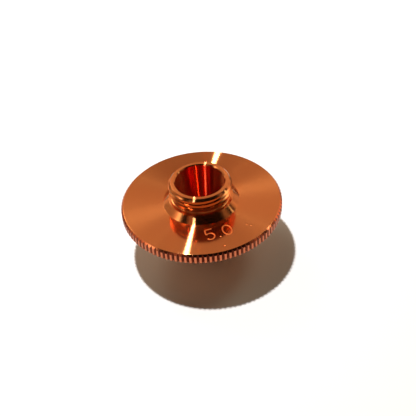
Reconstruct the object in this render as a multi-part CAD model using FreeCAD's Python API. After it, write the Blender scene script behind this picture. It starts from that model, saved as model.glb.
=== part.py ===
import FreeCAD, Part
import math
import os

# Laser cutting nozzle, turned as one piece from a copper bar. Sizes are in millimetres.
# The axis is Z: the tip's face lies on Z = 0 and the threaded neck points up.

# Heights along the axis
overall_height = 15.0
neck_height = 4.35
flange_thickness = 1.7

# Flange, with a straight knurl round its rim for the fingers
flange_diameter = 28.0
rim_top_chamfer = 0.35
rim_bottom_chamfer = 0.1
knurl_pitch = 0.83
knurl_depth = 0.34
knurl_angle = 70.0

# Conical nose under the flange
nose_base_diameter = 23.0
nose_root_fillet = 0.8
tip_diameter = 7.0
tip_edge_fillet = 0.25

# Passage for the beam and the gas: a cone that ends in the straight orifice
orifice_diameter = 5.0
orifice_length = 2.0
mouth_diameter = 8.6
mouth_chamfer = 0.1

# Neck: the conical seat, a relief groove, and the thread as its plain crest cylinder
seat_base_diameter = 13.3
seat_height = 1.05
seat_half_angle = 45.0
relief_diameter = 9.8
relief_fillet = 0.25
thread_diameter = 10.9
thread_length = 1.85
thread_lead_chamfer = 0.45

# How far a cutter reaches past the surface that it cuts
overcut = 0.1

# Places along the axis that several features share
flange_top = overall_height - neck_height
flange_bottom = flange_top - flange_thickness

AXIS_FOOT = FreeCAD.Vector(0, 0, 0)
UP = FreeCAD.Vector(0, 0, 1)


def corner(radius, height, fillet=0.0):
    """A corner of the turned section, with the radius that rounds it."""
    return FreeCAD.Vector(radius, 0, height), fillet


def nose_corners():
    """From the orifice's edge out to the foot of the flange."""
    return [
        corner(orifice_diameter / 2, 0),
        corner(tip_diameter / 2, 0, tip_edge_fillet),
        corner(nose_base_diameter / 2, flange_bottom, nose_root_fillet),
    ]


def rim_corners():
    """Up the outside of the flange and in to its face."""
    rim = flange_diameter / 2
    return [
        corner(rim - rim_bottom_chamfer, flange_bottom),
        corner(rim, flange_bottom + rim_bottom_chamfer),
        corner(rim, flange_top - rim_top_chamfer),
        corner(rim - rim_top_chamfer, flange_top),
    ]


def neck_corners():
    """Up the seat cone, through the relief groove and over the thread's blank."""
    seat_base = seat_base_diameter / 2
    seat_run = seat_height * math.tan(math.radians(seat_half_angle))
    seat_top = flange_top + seat_height
    relief = relief_diameter / 2
    crest = thread_diameter / 2
    thread_bottom = overall_height - thread_length
    runout = crest - relief
    return [
        corner(seat_base, flange_top),
        corner(seat_base - seat_run, seat_top),
        corner(relief, seat_top, relief_fillet),
        corner(relief, thread_bottom - runout, relief_fillet),
        corner(crest, thread_bottom),
        corner(crest, overall_height - thread_lead_chamfer),
        corner(crest - thread_lead_chamfer, overall_height),
    ]


def passage_corners():
    """Down the inside, from the mouth to the orifice."""
    mouth = mouth_diameter / 2
    return [
        corner(mouth + mouth_chamfer, overall_height),
        corner(mouth, overall_height - mouth_chamfer),
        corner(orifice_diameter / 2, orifice_length),
    ]


def rounded(before, here, after, radius):
    """The arc that rounds one corner, as its start, middle and end."""
    to_before = (before - here).normalize()
    to_after = (after - here).normalize()
    half_angle = to_before.getAngle(to_after) / 2
    tangent = radius / math.tan(half_angle)
    inward = (to_before + to_after).normalize()
    middle = here + inward * (radius / math.sin(half_angle) - radius)
    return here + to_before * tangent, middle, here + to_after * tangent


def section_wire(corners):
    """The closed outline through the corners, with its fillets."""
    places = [place for place, fillet in corners]
    turns = []
    for i, (here, fillet) in enumerate(corners):
        before = places[i - 1]
        after = places[(i + 1) % len(places)]
        turns.append(rounded(before, here, after, fillet) if fillet > 0 else (here, here, here))
    edges = []
    for i, (start, middle, end) in enumerate(turns):
        if start != end:
            edges.append(Part.Arc(start, middle, end).toShape())
        next_start = turns[(i + 1) % len(turns)][0]
        edges.append(Part.makeLine(end, next_start))
    return Part.Wire(edges)


def turned_blank():
    corners = nose_corners() + rim_corners() + neck_corners() + passage_corners()
    return Part.Face(section_wire(corners)).revolve(AXIS_FOOT, UP, 360)


def knurl_groove():
    """One V groove of the knurl, as a bar that stands across the rim."""
    root = flange_diameter / 2 - knurl_depth
    outside = flange_diameter / 2 + overcut
    half_width = (outside - root) * math.tan(math.radians(knurl_angle / 2))
    foot = flange_bottom - overcut
    triangle = Part.makePolygon([
        FreeCAD.Vector(root, 0, foot),
        FreeCAD.Vector(outside, -half_width, foot),
        FreeCAD.Vector(outside, half_width, foot),
        FreeCAD.Vector(root, 0, foot),
    ])
    return Part.Face(triangle).extrude(UP * (flange_thickness + 2 * overcut))


def knurl_grooves():
    """All the grooves, evenly spaced round the rim."""
    count = round(math.pi * flange_diameter / knurl_pitch)
    grooves = []
    for i in range(count):
        groove = knurl_groove()
        groove.rotate(AXIS_FOOT, UP, 360 * i / count)
        grooves.append(groove)
    return Part.makeCompound(grooves)


nozzle = turned_blank().cut(knurl_grooves())

os.makedirs("parts", exist_ok=True)
nozzle.exportStep("parts/nozzle.step")
print("nozzle: valid", nozzle.isValid(), "solids", len(nozzle.Solids), "volume", round(nozzle.Volume, 2))
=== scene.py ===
import bmesh
import bpy
import math
from mathutils import Matrix, Vector


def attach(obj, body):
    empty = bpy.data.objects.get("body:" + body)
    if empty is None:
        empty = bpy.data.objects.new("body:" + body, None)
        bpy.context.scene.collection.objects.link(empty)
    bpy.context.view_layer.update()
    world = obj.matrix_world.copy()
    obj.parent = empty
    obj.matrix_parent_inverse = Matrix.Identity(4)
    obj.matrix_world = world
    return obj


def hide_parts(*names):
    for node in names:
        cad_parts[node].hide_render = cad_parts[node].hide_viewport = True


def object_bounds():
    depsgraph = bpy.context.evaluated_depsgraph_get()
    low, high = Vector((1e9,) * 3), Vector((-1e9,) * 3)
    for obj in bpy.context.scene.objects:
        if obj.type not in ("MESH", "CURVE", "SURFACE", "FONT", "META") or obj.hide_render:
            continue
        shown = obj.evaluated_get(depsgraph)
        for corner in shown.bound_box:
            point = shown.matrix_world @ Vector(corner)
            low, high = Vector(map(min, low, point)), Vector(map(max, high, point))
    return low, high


# A laser cutting nozzle turned from copper, standing on its tip on a white table.
# Lengths in the part's own features are in millimetres and become metres through MM.
# The sizes of the nozzle across its axis are radii.

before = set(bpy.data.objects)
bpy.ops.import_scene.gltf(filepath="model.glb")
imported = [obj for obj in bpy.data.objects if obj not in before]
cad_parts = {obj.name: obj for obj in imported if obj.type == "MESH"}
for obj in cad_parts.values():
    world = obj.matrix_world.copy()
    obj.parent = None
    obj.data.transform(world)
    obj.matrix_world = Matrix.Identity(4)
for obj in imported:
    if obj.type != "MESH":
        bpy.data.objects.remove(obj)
cad_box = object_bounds()
MM = 0.001

# Round surfaces: four facets to each tooth of the knurl
KNURL_TEETH = 106
FACETS = 4 * KNURL_TEETH
FILLET_STEPS = 5

# How far a cutter reaches past the surface that it cuts
OVERCUT = 0.1

# Points closer than this, in metres, become one
WELD = 1e-7

# Edges sharper than this stay crisp
SHARP_EDGE = math.radians(24)

# Heights from the tip
NECK_HEIGHT = 4.35
FLANGE_THICKNESS = 1.7
HEIGHT = (cad_box[1].z - cad_box[0].z) / MM
FLANGE_TOP = HEIGHT - NECK_HEIGHT
FLANGE_BOTTOM = FLANGE_TOP - FLANGE_THICKNESS

# Flange
RIM = (cad_box[1].x - cad_box[0].x) / 2 / MM
RIM_TOP_CHAMFER = 0.35
RIM_BOTTOM_CHAMFER = 0.1
FACE_EDGE_FILLET = 0.1
KNURL_DEPTH = 0.34
KNURL_HALF_ANGLE = math.radians(35)

# Nose and passage
NOSE_BASE = 11.5
NOSE_ROOT_FILLET = 0.8
TIP = 3.5
TIP_EDGE_FILLET = 0.25
ORIFICE = 2.5
ORIFICE_EDGE_FILLET = 0.05
ORIFICE_LENGTH = 2.0
PASSAGE_FOOT_FILLET = 0.3
MOUTH = 4.26
MOUTH_CHAMFER = 0.18
MOUTH_EDGE_FILLET = 0.03

# Neck
SEAT_BASE = 6.65
SEAT_ROOT_FILLET = 0.04
SEAT_TOP = 5.6
SEAT_EDGE_FILLET = 0.05
SEAT_HEIGHT = 1.05
RELIEF = 4.9
RELIEF_FILLET = 0.25
THREAD = 5.45
THREAD_BOTTOM = HEIGHT - 1.85
THREAD_LEAD = 0.45
THREAD_LEAD_FILLET = 0.2
NECK_END_FILLET = 0.04

# Thread: a V groove that starts in the relief and runs out past the neck's end
THREAD_PITCH = 0.75
THREAD_ROOT = 4.99
THREAD_ROOT_HALF_FLAT = 0.05
THREAD_HALF_ANGLE = math.radians(30)
GROOVE_START = THREAD_BOTTOM - 0.9
GROOVE_TURNS = 4

# The size mark: each stroke in its own frame, x along the line of writing and y towards the axis
MARK_CENTRE = (2.43, -8.68)
MARK_TURN = math.radians(16)
STROKE_WIDTH = 0.29
STROKE_DEPTH = 0.09
STROKE_ROUNDNESS = 3
DIGIT_HALF_HEIGHT = 1.15
POINT_PLACE = (0, -1.1)
POINT_RADIUS = 0.2

# Small dents in the flange's face
NICKS = [(7.26, -7.30), (7.97, -7.61), (3.25, -11.95)]
NICK_RADIUS = 0.16
PIT_SEGMENTS = 16
PIT_RINGS = 8

# The finishes, in the order of the nozzle's materials; three of the colours below also hold
# painted sheen or painted shade
TURNED, FACED, ENGRAVED, KNURLED, SHADED_GROOVE, BORED = range(6)
COPPER = (0.9, 0.33, 0.12, 1)
# Painted shade: a darker, redder copy of the copper for the bore, standing in for the deepening of
# colour inside the hollow
BORE_SHADE_COPPER = (0.94, 0.19, 0.06, 1)
ENGRAVED_COPPER = (0.9, 0.26, 0.07, 1)
# Painted sheen: a redder copy of the copper, tuned so the knurl's teeth show the glow of the
# reflected table
KNURL_SHEEN_COPPER = (0.98, 0.27, 0.12, 1)
# Painted shade: a dark copper for the walls of the knurl's grooves, so the gaps between the teeth
# look shadowed
GROOVE_SHADE_COPPER = (0.42, 0.14, 0.08, 1)

# The lathe's grain: how far it stretches a reflection, which way, and the streak that it spreads
GRAIN = 0.5
GRAIN_TURN = 0.25
STREAK_ROUGHNESS = 0.3
STREAK_STRETCH = 0.95
RINGS_PER_METRE = 9000
RING_DETAIL = 2.0

# How near a face has to be to a place, and how upright or level, to count as part of it
ON_FACE = 0.001
LEVEL = 0.99
UPRIGHT = 0.1
MARK_REACH_DOWN = 0.15
MARK_FROM_SEAT = 0.1
MARK_FROM_RIM = 1
KNURL_FROM_FACE = 0.02
GROOVE_SIDE = 0.5
BORE_REACH = 0.01

# Table: its half width is in metres, and so is the distance over which it fades
TABLE_HALF_WIDTH = 1.0
TABLE_WHITE = (0.75, 0.75, 0.75, 1)
TABLE_IN_REFLECTION = (0.4, 0.4, 0.4, 1)
TABLE_FADE = (0.06, 0.3)
TABLE_ROUGHNESS = 0.9
TABLE_GLOSS = 0.1

# Camera: the aim is off the flange's centre by a share of the distance
CAMERA_ELEVATION = math.radians(41.14)
CAMERA_ROLL = math.radians(4.65)
CAMERA_DISTANCE = 138.93
AIM_ACROSS = -0.00756
AIM_UPWARD = 0.01144
FOCAL_PX = 800
IMAGE_PX = 416
SENSOR = 36
CLIP_START = 0.001

# Key lamp
KEY_LAMP_PLACE = Vector((-45, 43, 280))
KEY_LAMP_SIZE = 13
KEY_LAMP_POWER = 1.05

# The room's soft glows: azimuth from the front towards the right, elevation and width in
# degrees, strength
WARM_GLOWS = [
    (200, 62, 5, 1.5),
    (216, 54, 9, 0.7),
    (198, 37, 8, 0.9),
    (180, 38, 8, 0.25),
    (162, 37, 8, 0.9),
    (144, 37, 8, 0.8),
    (126, 37, 6, 0.9),
    (77, 34, 6, 0.3),
    (112, 17, 6, 0.7),
    (120, 4, 7, 0.9),
    (135, 4, 7, 0.5),
    (210, 4, 7, 0.85),
    (225, 4, 7, 0.55),
    (240, 19, 7, 0.35),
    (258, 21, 7, 0.4),
    (234, 37, 7, 0.5),
    (270, 37, 7, 1.1),
    (318, 45, 5, 0.3),
    (320, 11, 13, 0.25),
    (0, 11, 13, 0.3),
    (40, 11, 13, 0.25),
]
WARM_LIGHT = (1.0, 0.66, 0.44, 1)
WHITE_GLOWS = [
    (214, 38, 6, 6.5),
    (122, 48, 5, 3.5),
    (117, 56, 5, 1.5),
    (96, 26, 1.5, 5.0),
    (282, 34, 4, 1.7),
]
WHITE_LIGHT = (0.97, 0.95, 0.72, 1)
BACKDROP = (1, 1, 1, 1)


def corner(radius, height, fillet=0.0):
    """A corner of the turned section, with the radius that rounds it."""
    return Vector((radius, 0, height)), fillet


def rounded(before, here, after, radius, steps):
    """Points along the arc that rounds a corner of the section."""
    to_before = (before - here).normalized()
    to_after = (after - here).normalized()
    half_angle = to_before.angle(to_after) / 2
    centre = here + (to_before + to_after).normalized() * radius / math.sin(half_angle)
    start = here + to_before * radius / math.tan(half_angle) - centre
    end = here + to_after * radius / math.tan(half_angle) - centre
    return [centre + start.slerp(end, i / steps) * radius for i in range(steps + 1)]


def section():
    """The turned section from the orifice's edge round the outside and back down the passage."""
    runout = THREAD - RELIEF
    corners = [
        corner(ORIFICE, 0, ORIFICE_EDGE_FILLET),
        corner(TIP, 0, TIP_EDGE_FILLET),
        corner(NOSE_BASE, FLANGE_BOTTOM, NOSE_ROOT_FILLET),
        corner(RIM - RIM_BOTTOM_CHAMFER, FLANGE_BOTTOM),
        corner(RIM, FLANGE_BOTTOM + RIM_BOTTOM_CHAMFER),
        corner(RIM, FLANGE_TOP - RIM_TOP_CHAMFER),
        corner(RIM - RIM_TOP_CHAMFER, FLANGE_TOP, FACE_EDGE_FILLET),
        corner(SEAT_BASE, FLANGE_TOP, SEAT_ROOT_FILLET),
        corner(SEAT_TOP, FLANGE_TOP + SEAT_HEIGHT, SEAT_EDGE_FILLET),
        corner(RELIEF, FLANGE_TOP + SEAT_HEIGHT, RELIEF_FILLET),
        corner(RELIEF, THREAD_BOTTOM - runout, RELIEF_FILLET),
        corner(THREAD, THREAD_BOTTOM),
        corner(THREAD, HEIGHT - THREAD_LEAD, THREAD_LEAD_FILLET),
        corner(THREAD - THREAD_LEAD, HEIGHT, NECK_END_FILLET),
        corner(MOUTH + MOUTH_CHAMFER, HEIGHT),
        corner(MOUTH, HEIGHT - MOUTH_CHAMFER, MOUTH_EDGE_FILLET),
        corner(ORIFICE, ORIFICE_LENGTH, PASSAGE_FOOT_FILLET),
    ]
    places = [place for place, fillet in corners]
    points = []
    for i, (here, fillet) in enumerate(corners):
        if fillet:
            after = places[(i + 1) % len(places)]
            points += rounded(places[i - 1], here, after, fillet, FILLET_STEPS)
        else:
            points.append(here)
    return points


def add_object(name, data):
    thing = bpy.data.objects.new(name, data)
    bpy.context.scene.collection.objects.link(thing)
    return thing


def add_mesh(name, bm):
    mesh = bpy.data.meshes.new(name)
    bm.to_mesh(mesh)
    bm.free()
    return add_object(name, mesh)


def spun(points, **turn):
    """A closed outline spun round the axis."""
    bm = bmesh.new()
    ring = [bm.verts.new(point) for point in points]
    for i, vert in enumerate(ring):
        bm.edges.new((ring[i - 1], vert))
    bmesh.ops.spin(bm, geom=bm.verts[:] + bm.edges[:], cent=(0, 0, 0), axis=(0, 0, 1), **turn)
    return bm


def turned_body():
    """The section spun once round the axis."""
    bm = spun([point * MM for point in section()],
              dvec=(0, 0, 0), angle=math.tau, steps=FACETS, use_merge=True)
    bmesh.ops.remove_doubles(bm, verts=bm.verts, dist=WELD)
    bmesh.ops.recalc_face_normals(bm, faces=bm.faces)
    return add_mesh("nozzle_turned", bm)


def verts_of(geometry):
    return [item for item in geometry if isinstance(item, bmesh.types.BMVert)]


def knurl_bars():
    """The V bars that cut the teeth of the knurl."""
    bm = bmesh.new()
    root = RIM - KNURL_DEPTH
    outside = RIM + OVERCUT
    half_width = (outside - root) * math.tan(KNURL_HALF_ANGLE)
    low, high = FLANGE_BOTTOM - OVERCUT, FLANGE_TOP + OVERCUT
    corners = [(root, 0), (outside, -half_width), (outside, half_width)]
    foot = bm.faces.new([bm.verts.new((x * MM, y * MM, low * MM)) for x, y in corners])
    top = bmesh.ops.extrude_face_region(bm, geom=[foot], use_keep_orig=True)
    bmesh.ops.translate(bm, vec=(0, 0, (high - low) * MM), verts=verts_of(top["geom"]))
    bar = bm.verts[:] + bm.edges[:] + bm.faces[:]
    for i in range(1, KNURL_TEETH):
        copy = bmesh.ops.duplicate(bm, geom=bar)
        turn = Matrix.Rotation(math.tau * i / KNURL_TEETH, 3, "Z")
        bmesh.ops.rotate(bm, cent=(0, 0, 0), matrix=turn, verts=verts_of(copy["geom"]))
    bmesh.ops.recalc_face_normals(bm, faces=bm.faces)
    return add_mesh("knurl_bars", bm)


def thread_groove():
    """The helical V that cuts the thread, from the relief groove up past the neck's end."""
    outside = THREAD + OVERCUT
    half_width = THREAD_ROOT_HALF_FLAT + (outside - THREAD_ROOT) * math.tan(THREAD_HALF_ANGLE)
    steps = GROOVE_TURNS * KNURL_TEETH * 2
    corners = [
        (THREAD_ROOT, -THREAD_ROOT_HALF_FLAT),
        (outside, -half_width),
        (outside, half_width),
        (THREAD_ROOT, THREAD_ROOT_HALF_FLAT),
    ]
    bm = spun([(x * MM, 0, (GROOVE_START + z) * MM) for x, z in corners],
              dvec=(0, 0, THREAD_PITCH * MM * GROOVE_TURNS / steps),
              angle=math.tau * GROOVE_TURNS, steps=steps)
    bmesh.ops.holes_fill(bm, edges=bm.edges, sides=4)
    bmesh.ops.recalc_face_normals(bm, faces=bm.faces)
    return add_mesh("thread_groove", bm)


def arc(centre, size, start, end, steps):
    """Points on an ellipse, from one angle to the other, in degrees."""
    angles = [math.radians(start + (end - start) * i / steps) for i in range(steps + 1)]
    return [(centre[0] + size[0] * math.cos(a), centre[1] + size[1] * math.sin(a)) for a in angles]


def mark_strokes():
    """The lines of the digits 5 and 0, in the mark's own frame."""
    top = DIGIT_HALF_HEIGHT
    five_bar = [(-0.8, top + 0.1), (-2.0, top + 0.08)]
    five_stem = [(-2.0, top + 0.08), (-2.1, 0.12)]
    five_bowl = arc((-1.55, -0.42), (0.74, top - 0.42), 138, -148, 20)
    nought = arc((1.55, 0), (0.75, top), 0, 360, 40)
    return [five_bar, five_stem, five_bowl, nought]


def on_mark(x, y):
    """A place in the mark's own frame, as a place on the flange's face."""
    turned = Matrix.Rotation(MARK_TURN, 2) @ Vector((x, y)) + Vector(MARK_CENTRE)
    return turned.x, turned.y


def pit_cutter(name, place, radius):
    """A ball that leaves a round-bottomed pit in the flange's face."""
    bm = bmesh.new()
    bmesh.ops.create_uvsphere(bm, u_segments=PIT_SEGMENTS, v_segments=PIT_RINGS,
                              radius=radius * MM)
    x, y = place
    centre = (x * MM, y * MM, (FLANGE_TOP + radius - STROKE_DEPTH) * MM)
    bmesh.ops.translate(bm, vec=centre, verts=bm.verts)
    return add_mesh(name, bm)


def stroke_cutter(name, path):
    """A round bar that leaves a groove along a path in the flange's face."""
    curve = bpy.data.curves.new(name, "CURVE")
    curve.dimensions = "3D"
    curve.bevel_depth = STROKE_WIDTH / 2 * MM
    curve.bevel_resolution = STROKE_ROUNDNESS
    curve.use_fill_caps = True
    closed = (Vector(path[0]) - Vector(path[-1])).length < 1e-6
    points = path[:-1] if closed else path
    spline = curve.splines.new("POLY")
    spline.points.add(len(points) - 1)
    for spot, place in zip(spline.points, points):
        x, y = on_mark(*place)
        spot.co = (x * MM, y * MM, (FLANGE_TOP + STROKE_WIDTH / 2 - STROKE_DEPTH) * MM, 1)
    spline.use_cyclic_u = closed
    maker = add_object(name, curve)
    bpy.context.view_layer.update()
    mesh = bpy.data.meshes.new_from_object(maker)
    bpy.data.objects.remove(maker)
    bm = bmesh.new()
    bm.from_mesh(mesh)
    bpy.data.meshes.remove(mesh)
    bmesh.ops.remove_doubles(bm, verts=bm.verts, dist=WELD)
    bmesh.ops.recalc_face_normals(bm, faces=bm.faces)
    return add_mesh(name, bm)


def apply_modifiers(body):
    bpy.context.view_layer.update()
    shape = body.evaluated_get(bpy.context.evaluated_depsgraph_get())
    mesh = bpy.data.meshes.new_from_object(shape)
    body.modifiers.clear()
    body.data = mesh


def cut(body, cutters):
    """Takes each cutter away from the body."""
    for cutter in cutters:
        knife = body.modifiers.new(cutter.name, "BOOLEAN")
        knife.operation = "DIFFERENCE"
        knife.solver = "MANIFOLD"
        knife.object = cutter
    apply_modifiers(body)
    for cutter in cutters:
        bpy.data.objects.remove(cutter)


def smooth_shading(body):
    """Round surfaces shade smoothly, edges stay crisp and flat faces keep their own normal."""
    body.data.shade_smooth()
    body.data.set_sharp_from_angle(angle=SHARP_EDGE)
    even = body.modifiers.new("even_normals", "WEIGHTED_NORMAL")
    even.mode = "FACE_AREA"
    even.weight = 100
    even.keep_sharp = True
    apply_modifiers(body)


def math_node(tree, kind, operation, sources):
    """A maths node whose sources are sockets to link or fixed values."""
    node = tree.nodes.new(kind)
    node.operation = operation
    for socket, source in zip(node.inputs, sources):
        if isinstance(source, bpy.types.NodeSocket):
            tree.links.new(source, socket)
        else:
            socket.default_value = source
    return node


def vector_math(tree, operation, *sources):
    return math_node(tree, "ShaderNodeVectorMath", operation, sources)


def number_math(tree, operation, *sources):
    return math_node(tree, "ShaderNodeMath", operation, sources).outputs["Value"]


def tool_mark_group():
    """Rings that a lathe tool leaves, as a normal tilted along the radius."""
    tree = bpy.data.node_groups.new("tool_marks", "ShaderNodeTree")
    for name in ("Lean", "Ring Depth", "Rings per Metre"):
        tree.interface.new_socket(name, in_out="INPUT", socket_type="NodeSocketFloat")
    tree.interface.new_socket("Normal", in_out="OUTPUT", socket_type="NodeSocketVector")
    given = tree.nodes.new("NodeGroupInput")
    made = tree.nodes.new("NodeGroupOutput")
    place = tree.nodes.new("ShaderNodeTexCoord")
    flat = vector_math(tree, "MULTIPLY", place.outputs["Object"], (1, 1, 0)).outputs["Vector"]
    outward = vector_math(tree, "NORMALIZE", flat).outputs["Vector"]
    radius = vector_math(tree, "LENGTH", flat).outputs["Value"]
    rings = tree.nodes.new("ShaderNodeTexNoise")
    rings.noise_dimensions = "1D"
    rings.inputs["Scale"].default_value = 1.0
    rings.inputs["Detail"].default_value = RING_DETAIL
    across = number_math(tree, "MULTIPLY", radius, given.outputs["Rings per Metre"])
    tree.links.new(across, rings.inputs["W"])
    uneven = number_math(tree, "SUBTRACT", rings.outputs["Fac"], 0.5)
    slope = number_math(tree, "MULTIPLY_ADD", uneven, given.outputs["Ring Depth"],
                        given.outputs["Lean"])
    lean = vector_math(tree, "SCALE", outward)
    tree.links.new(slope, lean.inputs["Scale"])
    surface = tree.nodes.new("ShaderNodeNewGeometry")
    tilted = vector_math(tree, "ADD", surface.outputs["Normal"], lean.outputs["Vector"])
    normal = vector_math(tree, "NORMALIZE", tilted.outputs["Vector"])
    tree.links.new(normal.outputs["Vector"], made.inputs["Normal"])
    return tree


def plain_copper(name, colour, roughness):
    """Copper without a lathe's grain."""
    mat = bpy.data.materials.new(name)
    mat.use_nodes = True
    shader = mat.node_tree.nodes["Principled BSDF"]
    shader.inputs["Base Color"].default_value = colour
    shader.inputs["Metallic"].default_value = 1.0
    shader.inputs["Roughness"].default_value = roughness
    return mat


def turned_copper(name, colour, marks, lean, ring_depth, roughness, streak):
    """Bright copper off the lathe: a mirror and a streak that the tool marks spread."""
    mat = plain_copper(name, colour, roughness)
    nodes, links = mat.node_tree.nodes, mat.node_tree.links
    shader = nodes["Principled BSDF"]
    shader.inputs["Anisotropic"].default_value = GRAIN
    shader.inputs["Anisotropic Rotation"].default_value = GRAIN_TURN
    tool = nodes.new("ShaderNodeGroup")
    tool.node_tree = marks
    tool.inputs["Lean"].default_value = lean
    tool.inputs["Ring Depth"].default_value = ring_depth
    tool.inputs["Rings per Metre"].default_value = RINGS_PER_METRE
    spread = nodes.new("ShaderNodeBsdfAnisotropic")
    spread.inputs["Color"].default_value = colour
    spread.inputs["Roughness"].default_value = STREAK_ROUGHNESS
    spread.inputs["Anisotropy"].default_value = STREAK_STRETCH
    blend = nodes.new("ShaderNodeMixShader")
    blend.inputs["Fac"].default_value = streak
    around = nodes.new("ShaderNodeTangent")
    around.direction_type = "RADIAL"
    around.axis = "Z"
    for target in (shader, spread):
        links.new(tool.outputs["Normal"], target.inputs["Normal"])
        links.new(around.outputs["Tangent"], target.inputs["Tangent"])
    links.new(shader.outputs["BSDF"], blend.inputs[1])
    links.new(spread.outputs["BSDF"], blend.inputs[2])
    links.new(blend.outputs["Shader"], nodes["Material Output"].inputs["Surface"])
    return mat


def finishes():
    """The nozzle's materials, in the order of the finishes; the face leans a little inwards, the
    knurl carries a painted sheen, and its groove walls and the bore carry painted shade.
    """
    marks = tool_mark_group()
    return [
        turned_copper("turned_copper", COPPER, marks,
                      lean=0.0, ring_depth=0.01, roughness=0.08, streak=0.16),
        turned_copper("faced_copper", COPPER, marks,
                      lean=-0.067, ring_depth=0.02, roughness=0.1, streak=0.33),
        plain_copper("engraved_copper", ENGRAVED_COPPER, roughness=0.35),
        # The knurl's copper carries a painted sheen
        plain_copper("knurled_copper", KNURL_SHEEN_COPPER, roughness=0.12),
        # The groove walls' dark copper is painted shade
        plain_copper("grooved_copper_painted_shade", GROOVE_SHADE_COPPER, roughness=0.5),
        # The bore's copper carries painted shade
        turned_copper("bored_copper", BORE_SHADE_COPPER, marks,
                      lean=0.0, ring_depth=0.01, roughness=0.1, streak=0.25),
    ]


def finish_of(face):
    """The place of a face's finish in the list of materials."""
    above = face.center.z / MM - FLANGE_TOP
    outward = face.center.xy.length / MM
    if abs(above) < ON_FACE and face.normal.z > LEVEL:
        return FACED
    inside_mark_ring = SEAT_BASE + MARK_FROM_SEAT < outward < RIM - MARK_FROM_RIM
    if -MARK_REACH_DOWN < above < 0 and inside_mark_ring:
        return ENGRAVED
    if outward > RIM - RIM_TOP_CHAMFER + KNURL_FROM_FACE:
        sideways = abs(face.normal.cross(face.center.normalized()).z)
        # Walls facing sideways into the knurl's grooves take the dark copper of painted shade
        groove_wall = sideways > GROOVE_SIDE and abs(face.normal.z) < UPRIGHT
        return SHADED_GROOVE if groove_wall else KNURLED
    if outward < MOUTH + BORE_REACH and face.normal.xy.dot(face.center.xy) < 0:
        return BORED
    return TURNED


def nozzle():
    """The nozzle with its knurl, thread, size mark and dents."""
    body = turned_body()
    strokes = [stroke_cutter(f"stroke_{i}", path) for i, path in enumerate(mark_strokes())]
    pits = [pit_cutter("point", on_mark(*POINT_PLACE), POINT_RADIUS)]
    pits += [pit_cutter(f"nick_{i}", place, NICK_RADIUS) for i, place in enumerate(NICKS)]
    cut(body, [knurl_bars(), thread_groove()] + strokes + pits)
    smooth_shading(body)
    body.data.materials.clear()
    for mat in finishes():
        body.data.materials.append(mat)
    for face in body.data.polygons:
        face.material_index = finish_of(face)
    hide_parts("nozzle")
    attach(body, "root")


def table():
    """A white table, darker in reflections, that fades into the backdrop far from the nozzle."""
    bm = bmesh.new()
    bmesh.ops.create_grid(bm, x_segments=1, y_segments=1, size=TABLE_HALF_WIDTH)
    floor = add_mesh("table", bm)
    mat = bpy.data.materials.new("white_table")
    mat.use_nodes = True
    tree = mat.node_tree
    nodes, links = tree.nodes, tree.links
    shader = nodes["Principled BSDF"]
    shader.inputs["Roughness"].default_value = TABLE_ROUGHNESS
    shader.inputs["Specular IOR Level"].default_value = TABLE_GLOSS
    sight = nodes.new("ShaderNodeLightPath")
    tone = nodes.new("ShaderNodeMix")
    tone.data_type = "RGBA"
    tone.inputs[6].default_value = TABLE_IN_REFLECTION
    tone.inputs[7].default_value = TABLE_WHITE
    links.new(sight.outputs["Is Camera Ray"], tone.inputs[0])
    links.new(tone.outputs[2], shader.inputs["Base Color"])
    place = nodes.new("ShaderNodeTexCoord")
    reach = vector_math(tree, "LENGTH", place.outputs["Object"])
    fade = nodes.new("ShaderNodeMapRange")
    fade.inputs["From Min"].default_value = TABLE_FADE[0]
    fade.inputs["From Max"].default_value = TABLE_FADE[1]
    links.new(reach.outputs["Value"], fade.inputs["Value"])
    bright = number_math(tree, "MULTIPLY", fade.outputs["Result"],
                         sight.outputs["Is Camera Ray"])
    shader.inputs["Emission Color"].default_value = BACKDROP
    links.new(bright, shader.inputs["Emission Strength"])
    floor.data.materials.append(mat)


def camera():
    """The photograph's view: 41 degrees above the table, with the camera rolled a little."""
    back = Vector((0, -math.cos(CAMERA_ELEVATION), math.sin(CAMERA_ELEVATION)))
    right = Vector((1, 0, 0))
    up = Vector((0, math.sin(CAMERA_ELEVATION), math.cos(CAMERA_ELEVATION)))
    aim = Vector((0, 0, FLANGE_TOP))
    place = (aim + back * CAMERA_DISTANCE - right * AIM_ACROSS * CAMERA_DISTANCE
             - up * AIM_UPWARD * CAMERA_DISTANCE) * MM
    turned_right = right * math.cos(CAMERA_ROLL) - up * math.sin(CAMERA_ROLL)
    turned_up = right * math.sin(CAMERA_ROLL) + up * math.cos(CAMERA_ROLL)
    turn = Matrix((turned_right, turned_up, back)).transposed().to_4x4()
    lens = bpy.data.cameras.new("camera")
    lens.sensor_width = SENSOR
    lens.lens = SENSOR * FOCAL_PX / IMAGE_PX
    lens.clip_start = CLIP_START
    holder = add_object("camera", lens)
    holder.matrix_world = Matrix.Translation(place) @ turn
    bpy.context.scene.camera = holder


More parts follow.
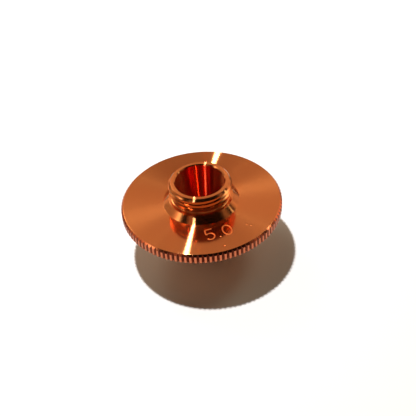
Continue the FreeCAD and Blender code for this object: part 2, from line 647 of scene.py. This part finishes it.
def key_lamp():
    """The small bright lamp above the back left that throws the shadow and the white streaks."""
    place = KEY_LAMP_PLACE * MM
    light = bpy.data.lights.new("key_lamp", "AREA")
    light.shape = "DISK"
    light.size = KEY_LAMP_SIZE * MM
    light.energy = KEY_LAMP_POWER
    holder = add_object("key_lamp", light)
    holder.location = place
    holder.rotation_euler = (-place).to_track_quat("-Z", "Y").to_euler()


def glowing_sky(tree, glows, colour):
    """A background lit by soft round glows."""
    place = tree.nodes.new("ShaderNodeTexCoord")
    background = tree.nodes.new("ShaderNodeBackground")
    background.inputs["Color"].default_value = colour
    total = None
    for azimuth, elevation, width, strength in glows:
        across, height = math.radians(azimuth), math.radians(elevation)
        towards = (math.cos(height) * math.sin(across),
                   -math.cos(height) * math.cos(across),
                   math.sin(height))
        sharpness = 1 / math.radians(width) ** 2
        facing = vector_math(tree, "DOT_PRODUCT", place.outputs["Generated"], towards)
        fall = number_math(tree, "MULTIPLY_ADD", facing.outputs["Value"], sharpness,
                           math.log(strength) - sharpness)
        glow = number_math(tree, "EXPONENT", fall)
        total = number_math(tree, "ADD", total, glow) if total else glow
    tree.links.new(total, background.inputs["Strength"])
    return background


def soft_studio():
    """A dark room with soft glows, which the camera itself sees as a plain pale backdrop."""
    world = bpy.data.worlds.new("soft_studio")
    world.use_nodes = True
    nodes, links = world.node_tree.nodes, world.node_tree.links
    warm = glowing_sky(world.node_tree, WARM_GLOWS, WARM_LIGHT)
    white = glowing_sky(world.node_tree, WHITE_GLOWS, WHITE_LIGHT)
    sky = nodes.new("ShaderNodeAddShader")
    links.new(warm.outputs["Background"], sky.inputs[0])
    links.new(white.outputs["Background"], sky.inputs[1])
    backdrop = nodes["Background"]
    backdrop.inputs["Color"].default_value = BACKDROP
    sight = nodes.new("ShaderNodeLightPath")
    seen = nodes.new("ShaderNodeMixShader")
    links.new(sight.outputs["Is Camera Ray"], seen.inputs["Fac"])
    links.new(sky.outputs["Shader"], seen.inputs[1])
    links.new(backdrop.outputs["Background"], seen.inputs[2])
    links.new(seen.outputs["Shader"], nodes["World Output"].inputs["Surface"])
    bpy.context.scene.world = world


nozzle()
table()
camera()
key_lamp()
soft_studio()
bpy.context.scene.view_settings.view_transform = "Standard"

bpy.context.view_layer.update()
